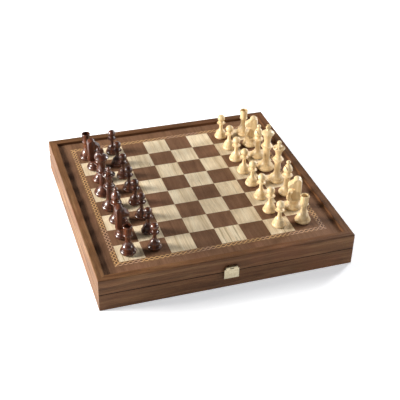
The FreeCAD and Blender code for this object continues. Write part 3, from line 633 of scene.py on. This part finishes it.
def cheek_grooves(side_x, side_z):
    """Distance to each line or hole carved in the cheeks, seen from the side, and its half width."""
    centre, eye, nostril = (np.array(place) * KNIGHT_SCALE for place in (CURL_CENTRE, EYE, NOSTRIL))
    eyelid = eye + np.array([(-1.5, 0.1), (-0.4, 1.0), (1.3, 0.5)])
    mouth = np.array(MOUTH) * KNIGHT_SCALE
    cheek_line = outline_points(CHEEK_LINE, KNIGHT_SCALE)[1:]
    curl = spiral(centre, start_radius=3.1, end_radius=0.7, turns=1.2, start_degrees=-110)
    yield path_distance(side_x, side_z, curl), 0.46
    yield np.hypot(side_x - centre[0], side_z - centre[1]), 0.6
    yield path_distance(side_x, side_z, eyelid), 0.34
    yield np.hypot(side_x - eye[0], side_z - eye[1]), 0.55
    yield np.hypot(side_x - nostril[0], side_z - nostril[1]), 0.45
    yield path_distance(side_x, side_z, mouth), 0.32
    yield path_distance(side_x, side_z, cheek_line), 0.22


def knight_mesh(step=0.27):
    """Mesh of a knight that faces +X and stands just clear of z = 0, in metres."""
    # The sampled block reaches a little past the knight, and the felt is inset from the foot
    reach, below, above = 12.4, 0.9, 1.2
    felt_inset, clearance = 1.2, 0.03
    low = np.array((-reach, -reach, -below))
    high = np.array((reach, reach, KNIGHT_HEIGHT + FELT_THICKNESS + above))
    x, y, z = (np.arange(a, b, step) for a, b in zip(low, high))
    side_x, side_z = np.meshgrid(x, z - FELT_THICKNESS, indexing="ij")
    radius = np.hypot(*np.meshgrid(x, y, indexing="ij"))

    blank = revolved(radius, z - FELT_THICKNESS, outline_points(BLANK, KNIGHT_SCALE), step)
    front = polygon_distance(side_x, side_z, outline_points(FRONT, KNIGHT_SCALE))[:, None, :]
    cheek = polygon_distance(side_x, side_z, outline_points(CHEEK, KNIGHT_SCALE))[:, None, :]
    past_cheek = np.abs(y)[None, :, None] - CHEEK_HALF * KNIGHT_SCALE
    field = smooth_max(blank, -front, 0.9)
    field = smooth_max(field, -np.maximum(-past_cheek, cheek), 0.7)
    for distance, half_width in cheek_grooves(side_x, side_z):
        groove = np.hypot(distance[:, None, :], past_cheek) - half_width
        field = smooth_max(field, -groove, 0.35)

    felt_radius = BLANK[1][0] * KNIGHT_SCALE - felt_inset
    past_felt = np.abs(z - FELT_THICKNESS / 2) - FELT_THICKNESS / 2
    felt_disc = np.maximum(radius[..., None] - felt_radius, past_felt[None, None, :])
    field = np.maximum(np.minimum(field, felt_disc), clearance - z)
    return new_mesh("knight", *surface_net(field, low, step))


knight = knight_mesh()
for colour, wood_material in ARMIES.items():
    for file in "bg":
        node = f"{colour}_knight_{file}"
        low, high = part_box(node)
        middle = (low + high) / 2
        facing = (180 if colour == "light" else 0) + TURNED.get(node, 0)
        turn = Matrix.Rotation(math.radians(facing), 4, "Z")
        mesh = knight.copy()
        mesh.transform(Matrix.Translation((middle.x, middle.y, low.z)) @ turn)
        piece = add_object(f"{node}_carved", mesh, wood_material)
        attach(piece, node)
        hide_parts(node)


# ---------------------------------------------------------------------------------------------
# Clasp flap: pressed brass sheet with eased edges, rolled round the pin at its ends
# ---------------------------------------------------------------------------------------------
def flap_mesh(low, high, step=0.16):
    """Mesh of the flap in the box of its CAD node, in metres."""
    gauge = 1.2
    sheet_height = 14.7
    edge_radius = 0.42
    ear_overlap = 2
    ear_radius = 0.2
    knuckle_radius = 1.5
    bore_radius = 0.56
    knuckle_start, knuckle_end = 2.9, 8.0
    margin = 4 * step
    axes = [np.arange(a - margin, b + margin, step) for a, b in zip(low, high)]
    x, y, z = np.meshgrid(*axes, indexing="ij", sparse=True)
    front, bottom, top = low[1], low[2], high[2]
    axis_y, axis_z = front + knuckle_radius, top - knuckle_radius
    sheet_y = front + gauge / 2
    sheet = rounded_block((x, y - sheet_y, z - bottom - sheet_height / 2),
                          ((high[0] - low[0]) / 2, gauge / 2, sheet_height / 2), edge_radius)
    along_pin = np.abs(np.abs(x) - (knuckle_start + knuckle_end) / 2)
    half_length = (knuckle_end - knuckle_start) / 2
    ears_bottom = bottom + sheet_height - ear_overlap
    ears = rounded_block((along_pin, y - sheet_y, z - (ears_bottom + axis_z) / 2),
                         (half_length, gauge / 2, (axis_z - ears_bottom) / 2), ear_radius)
    from_axis = np.hypot(y - axis_y, z - axis_z)
    roll = smooth_max(from_axis - knuckle_radius, along_pin - half_length, 0.4)
    field = -smooth_max(-sheet, -np.minimum(ears, roll), 0.3)
    field = np.maximum(np.maximum(field, bore_radius - from_axis), front - y)
    vertices, quads = surface_net(field, np.array([axis[0] for axis in axes]), step)
    return new_mesh("flap", vertices, quads)


corners = [np.array(corner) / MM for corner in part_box("clasp_flap")]
flap = add_object("clasp_flap_pressed", flap_mesh(*corners), polished_brass)
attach(flap, "clasp_flap")
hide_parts("clasp_flap")


# ---------------------------------------------------------------------------------------------
# Floor, light and camera
# ---------------------------------------------------------------------------------------------
def add_floor(half):
    """Square floor under the case."""
    mesh = bpy.data.meshes.new("floor")
    corners = [(-half, -half, 0), (half, -half, 0), (half, half, 0), (-half, half, 0)]
    mesh.from_pydata(corners, [], [(0, 1, 2, 3)])
    floor = add_object("floor", mesh, floor_material())
    floor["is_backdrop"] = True


def add_softbox(name, position, target, width, depth, power, colour=(1, 1, 1)):
    """Rectangular light at a position, aimed at a target."""
    light = bpy.data.lights.new(name, "AREA")
    light.shape = "RECTANGLE"
    light.size = width
    light.size_y = depth
    light.energy = power
    light.color = colour
    lamp = add_object(name, light)
    lamp.location = position
    aim = Vector(target) - Vector(position)
    lamp.rotation_euler = aim.to_track_quat("-Z", "Y").to_euler()


def add_world(horizon, overhead):
    """Studio surroundings, pale at the horizon and dim overhead."""
    world = bpy.data.worlds.new("studio")
    world.use_nodes = True
    tree = world.node_tree
    direction = tree.nodes.new("ShaderNodeTexCoord").outputs["Generated"]
    split = tree.nodes.new("ShaderNodeSeparateXYZ")
    ramp = tree.nodes.new("ShaderNodeValToRGB")
    stops = ((0.06, horizon), (0.3, overhead))
    for element, (position, colour) in zip(ramp.color_ramp.elements, stops):
        element.position = position
        element.color = (*colour, 1)
    tree.links.new(direction, split.inputs[0])
    tree.links.new(split.outputs["Z"], ramp.inputs[0])
    tree.links.new(ramp.outputs[0], tree.nodes["Background"].inputs["Color"])
    bpy.context.scene.world = world


def add_camera(position, target, roll_degrees, lens):
    """Camera of the scene, with its lens in millimetres on a sensor 36 mm wide."""
    camera = bpy.data.cameras.new("camera")
    camera.lens = lens
    camera.sensor_width = 36
    camera.clip_end = 50
    holder = add_object("camera", camera)
    aim = (Vector(target) - Vector(position)).to_track_quat("-Z", "Y").to_matrix().to_4x4()
    roll = Matrix.Rotation(math.radians(roll_degrees), 4, "Z")
    holder.matrix_world = Matrix.Translation(position) @ aim @ roll
    bpy.context.scene.camera = holder


add_floor(half=6.0)
add_world(horizon=(0.52, 0.54, 0.56), overhead=(0.10, 0.10, 0.102))
add_softbox("key", position=(-1.3, 0.2, 0.50), target=(0, 0, 0.03), width=0.5, depth=0.34, power=44,
            colour=(1.0, 0.97, 0.93))
add_softbox("right", position=(1.15, 0.5, 0.65), target=(0, 0, 0.02), width=0.3, depth=0.6, power=14)
add_softbox("front", position=(1.85, -1.0, 0.8), target=(0, 0, 0.02), width=0.5, depth=0.4, power=11,
            colour=(1.0, 0.97, 0.94))
add_camera(position=(-0.3207, -0.9864, 0.7388), target=(0.0038, -0.0301, 0.0400), roll_degrees=1.56,
           lens=79.87)
bpy.context.scene.view_settings.view_transform = "Standard"

boxes = {"cad": cad_box, "visual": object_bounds()}
{name: [list(corner) for corner in box] for name, box in boxes.items()}
